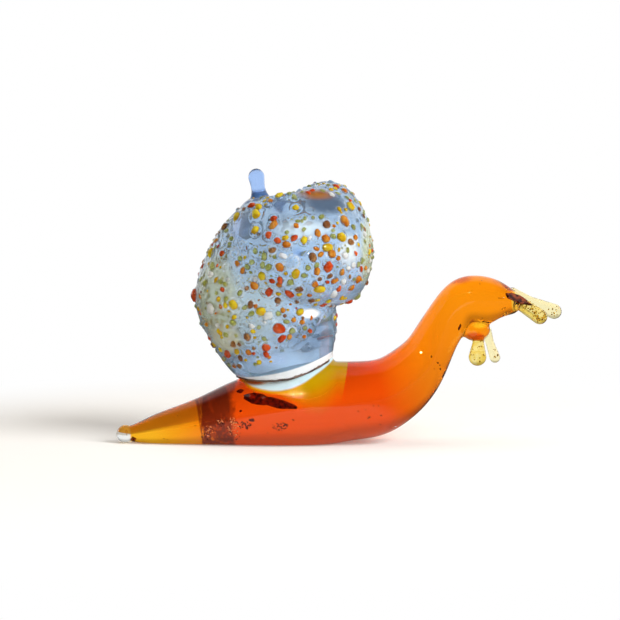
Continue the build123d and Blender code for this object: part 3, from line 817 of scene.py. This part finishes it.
coil_mesh = skin_over("wound_shell", ["shell_coil"], coil_grain, coil_passes)
for vertex in coil_mesh.vertices:
    if vertex.co.x > metres(swell_start):
        vertex.co.x -= swell_trim * (vertex.co.x - metres(swell_start))
coil_skin = skin_tree_of(coil_mesh)
grains = []
for colour, rows in list(grains_in_view.items()) + [(edge_bead[0], [edge_bead[1:]])]:
    for pixel_x, pixel_y, half in rows:
        point, normal, _, _ = coil_skin.ray_cast(eye_point, sight_through(pixel_x, pixel_y))
        if point is None:
            aim = eye_point + sight_through(pixel_x, pixel_y) * metres(sight_distance)
            point, normal, _, _ = coil_skin.find_nearest(aim)
        grains.append((colour, point, normal, half * pixel_length))


def seen_at(point):
    local = camera.rotation_euler.to_matrix().transposed() @ (point - eye_point)
    scale = sight_lens / camera.data.sensor_width / -local.z
    return ((0.5 + local.x * scale) * view_pixels, (0.5 - local.y * scale) * view_pixels)


def bare_in_view(point):
    pixel_x, pixel_y = seen_at(point)
    for (middle_x, middle_y), (half_x, half_y) in bare_patches:
        if ((pixel_x - middle_x) / half_x) ** 2 + ((pixel_y - middle_y) / half_y) ** 2 < 1:
            return True
    (left, low), (right, high) = bare_line
    beyond = (pixel_x - left) * (low - high) / (right - left) + pixel_y - low
    return beyond > 0 or pixel_y > foot_line


def too_close(point, radius):
    for _, other, _, other_radius in grains:
        if (other - point).length < metres((radius + other_radius) * grain_room):
            return True
    return False


faces = list(coil_mesh.polygons)
areas = [face.area for face in faces]
counts = {"near": 0, "round": 0}
limits = {"near": scatter_near, "round": scatter_round}
for face in draw.choices(faces, weights=areas, k=scatter_tries):
    if counts == limits:
        break
    point = face.center.copy()
    normal = face.normal.copy()
    side = "near" if normal.dot(eye_point - point) > 0 else "round"
    radius = draw.uniform(*scatter_radius)
    if counts[side] >= limits[side] or too_close(point, radius):
        continue
    if side == "near" and bare_in_view(point):
        continue
    if side == "round" and (point.z < metres(scatter_low) or noise.noise(point * 90) > scatter_gap):
        continue
    counts[side] += 1
    grains.append((draw.choice(scatter_colours), point, normal, radius))

# Raise the skin round each grain: a low fillet round the coloured ones, a whole bump for the clear
# ones. The underside is let down a little into the pad that the shell stands on.
skin_points = np.array([v.co for v in coil_mesh.vertices])
skin_normals = np.array([v.normal for v in coil_mesh.vertices])
skin_tree = KDTree(len(skin_points))
for count, point in enumerate(skin_points):
    skin_tree.insert(point, count)
skin_tree.balance()
lift_up = np.where((skin_normals[:, 2] < -0.5) & (skin_points[:, 2] < metres(19)), metres(coil_sink), 0.0)
# A broken ring round each grain below the top, shown as milky white glass, is a painted highlight
halo = np.zeros(len(skin_points))
for colour, point, normal, radius in grains:
    strong = draw.uniform(*halo_strength) if point.z < metres(halo_top) else 0
    for _, count, distance in skin_tree.find_range(point, metres(radius) * (halo_reach + 2 * halo_width)):
        off = (distance / metres(radius) - halo_reach) / halo_width
        broken = 0.5 + 1.2 * noise.noise(Vector(skin_points[count]) / metres(halo_cloud))
        halo[count] = max(halo[count], strong * min(1, max(0, broken)) * math.exp(-off * off))
    reach = metres(radius) * (draw_up_reach if colour != "clear" else bump_reach)
    height = metres(radius) * (draw_up_share if colour != "clear" else bump_share)
    for _, count, distance in skin_tree.find_range(point, reach):
        lift_up[count] = max(lift_up[count], height * (1 - (distance / reach) ** 2) ** 1.5)
for count, point in enumerate(skin_points):
    point = Vector(point)
    if point.z > metres(20) and not (skin_normals[count][1] < 0 and bare_in_view(point)):
        height = web_height if skin_normals[count][1] < web_turn else web_height_far
        lift_up[count] += metres(height) * (0.5 - abs(noise.noise(point / metres(web_grain))))
skin_points += skin_normals * lift_up[:, None]
coil_mesh.vertices.foreach_set("co", skin_points.ravel())
coil_mesh.attributes.new("halo", "FLOAT", "POINT").data.foreach_set("value", halo)
coil = new_piece("wound_shell", coil_mesh, blue)
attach(coil, "root")
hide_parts("shell_coil")

# The crease where the foot of the shell meets the pad: a thin ring of dark, half clear glass laid in it is painted
# shade, a thin dark line to the eye.
crease_radius = 0.42
crease_low = 12.0
crease_high = 20.0
crease_step = 0.05
crease_steps = 120
crease_sides = 8
crease_from = 30.0
crease_cloud = 2.5
crease_dark = "#463430"
crease_pale = "#8C7468"
crease_gloss = 0.1
crease_clear = 0.3
shade_in_crease, tree = new_material("painted_crease_shade_glass")
place, _ = glass_place(tree)
tint = mottled(tree, place, crease_cloud, 0.4, (crease_dark, crease_pale), 0.65)
finish_glass(tree, tint, crease_gloss, crease_clear)


# Rings of vertices are joined to one skin, as a hoop or as a stick with two ends, and evened out
def joined_rings(name, heap, rings, hoop, passes, factor):
    for low, high in zip(rings, rings[1:] + rings[:1] if hoop else rings[1:]):
        for side in range(len(low)):
            after = (side + 1) % len(low)
            heap.faces.new((low[side], low[after], high[after], high[side]))
    if not hoop:
        heap.faces.new(rings[-1])
        heap.faces.new(list(reversed(rings[0])))
    for _ in range(passes):
        bmesh.ops.smooth_vert(heap, verts=heap.verts, factor=factor, use_axis_x=True, use_axis_y=True,
                              use_axis_z=True)
    bmesh.ops.recalc_face_normals(heap, faces=heap.faces)
    return smooth_mesh(name, heap)


coil_skin = skin_tree_of(coil_mesh)
body_skin = skin_tree_of(body.data)
line = []
for step in range(crease_steps):
    way = math.tau * step / crease_steps
    outward = Vector((math.cos(way), math.sin(way), 0))
    for level in np.arange(crease_low, crease_high, crease_step):
        start = outward * metres(crease_from) + Vector((0, 0, metres(float(level))))
        on_coil = coil_skin.ray_cast(start, -outward)
        on_body = body_skin.ray_cast(start, -outward)
        if on_coil[0] is not None and (on_body[0] is None or on_coil[3] < on_body[3]):
            line.append((on_coil[0], outward))
            break
crease = bmesh.new()
rings = []
for middle, outward in line:
    ring = []
    for side in range(crease_sides):
        around = math.tau * side / crease_sides
        spot = outward * math.cos(around) + Vector((0, 0, 1)) * math.sin(around)
        ring.append(crease.verts.new(middle + spot * metres(crease_radius)))
    rings.append(ring)
crease_piece = new_piece("crease_shade_ring", joined_rings("crease_shade_ring", crease, rings, True, 4, 0.3), shade_in_crease)
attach(crease_piece, "root")

# The frit: crushed coloured glass, rolled on hot. Each grain has melted to a low drop with a soft gloss,
# sunk by its root, and its colour is mottled. All kinds let some light through, the green the most.
frit_cloud = 1.4
frit_codes = {"yellow": ("#F8DC2C", "#DCAA14"), "orange": ("#F4A63C", "#DC7414"), "red": ("#E8622A", "#C83E0C"),
              "brown": ("#C48C54", "#985A2C"), "white": ("#FFFFFF", "#E4E8E6"), "green": ("#DCDE8C", "#B8B854")}
frit_clearness = {"yellow": 0.45, "orange": 0.55, "red": 0.4, "brown": 0.6, "white": 0.45, "green": 0.7}
frit_gloss = 0.12
frit_crown = 0.72
frit_sink = 0.12
frit_pull = 0.22


def frit_mesh(name, spots):
    heap = bmesh.new()
    for point, normal, radius in spots:
        turn = normal.to_track_quat("Z", "Y").to_matrix() @ Matrix.Rotation(draw.uniform(0, math.tau), 3, "Z")
        long_way = 1 + frit_pull * draw.random()
        half_sizes = (radius * long_way, radius / long_way, radius * frit_crown)
        grow_crumb(heap, point + normal * metres(radius * frit_sink), half_sizes, turn, 0.3, 2)
    return smooth_mesh(name, heap)


for colour, codes in frit_codes.items():
    fused, tree = new_material(colour + "_frit_fused_glossy")
    place, _ = glass_place(tree)
    tint = mottled(tree, place, frit_cloud, 0.38, codes)
    finish_glass(tree, tint, frit_gloss, frit_clearness[colour])
    spots = [(point, normal, radius) for other, point, normal, radius in grains if other == colour]
    frit = new_piece(colour + "_grains", frit_mesh(colour + "_grains", spots), fused)
    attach(frit, "root")
    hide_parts("frit_" + colour)

# The peg on top of the shell, where the blue rope was pulled off: it flares out of the skin, and its
# end melted back to a ball. It is clear pale blue glass, milkier and deeper in colour at the foot.
peg_root = (-5.0, -0.5, 46.66)
peg_lean = 9.0
peg_length = 8.3
peg_ball = 1.72
# Rows: height above the root and radius
peg_profile = [(0.0, 3.1), (1.4, 2.9), (2.3, 2.2), (3.1, 1.7), (4.2, 1.42), (5.4, 1.5), (6.58, 1.72)]
peg_sides = 36
peg_steps = 48
peg_straight_steps = 30
peg_deep = "#5880BC"
peg_blue = "#A8C8FA"
peg_foot_heights = (49.6, 50.8)
peg_foot_clear = 0.5
deep_blue, tree = new_material("pale_blue_glass_drawn_off")
_, parts = glass_place(tree)
above = add_node(tree, "MapRange", {"Value": parts["Z"], "From Min": peg_foot_heights[0],
                 "From Max": peg_foot_heights[1]}, **soft)
tint = add_node(tree, "Mix", {0: above, 6: linear(peg_deep), 7: linear(peg_blue)}, data_type="RGBA").outputs[2]
clearness = add_node(tree, "Mix", {0: above, 2: peg_foot_clear, 3: 1.0})
finish_glass(tree, tint, polished, clearness)
lean = math.radians(peg_lean)
peg_turn = Vector((-math.sin(lean), 0, math.cos(lean))).to_track_quat("Z", "Y").to_matrix()
peg = bmesh.new()
rings = []
straight = peg_length - peg_ball
for step in range(peg_steps):
    if step < peg_straight_steps:
        height = straight * step / peg_straight_steps
        width = float(np.interp(height, *zip(*peg_profile)))
    else:
        arc = math.pi / 2 * (step - peg_straight_steps) / (peg_steps - peg_straight_steps - 0.5)
        height = straight + peg_ball * math.sin(arc)
        width = peg_ball * math.cos(arc)
    ring = []
    for side in range(peg_sides):
        around = math.tau * side / peg_sides
        spot = metres(width * math.cos(around), width * math.sin(around), height)
        ring.append(peg.verts.new(metres(*peg_root) + peg_turn @ spot))
    rings.append(ring)
peg_piece = new_piece("blue_peg", joined_rings("blue_peg", peg, rings, False, 12, 0.5), deep_blue)
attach(peg_piece, "root")
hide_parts("shell_peg")
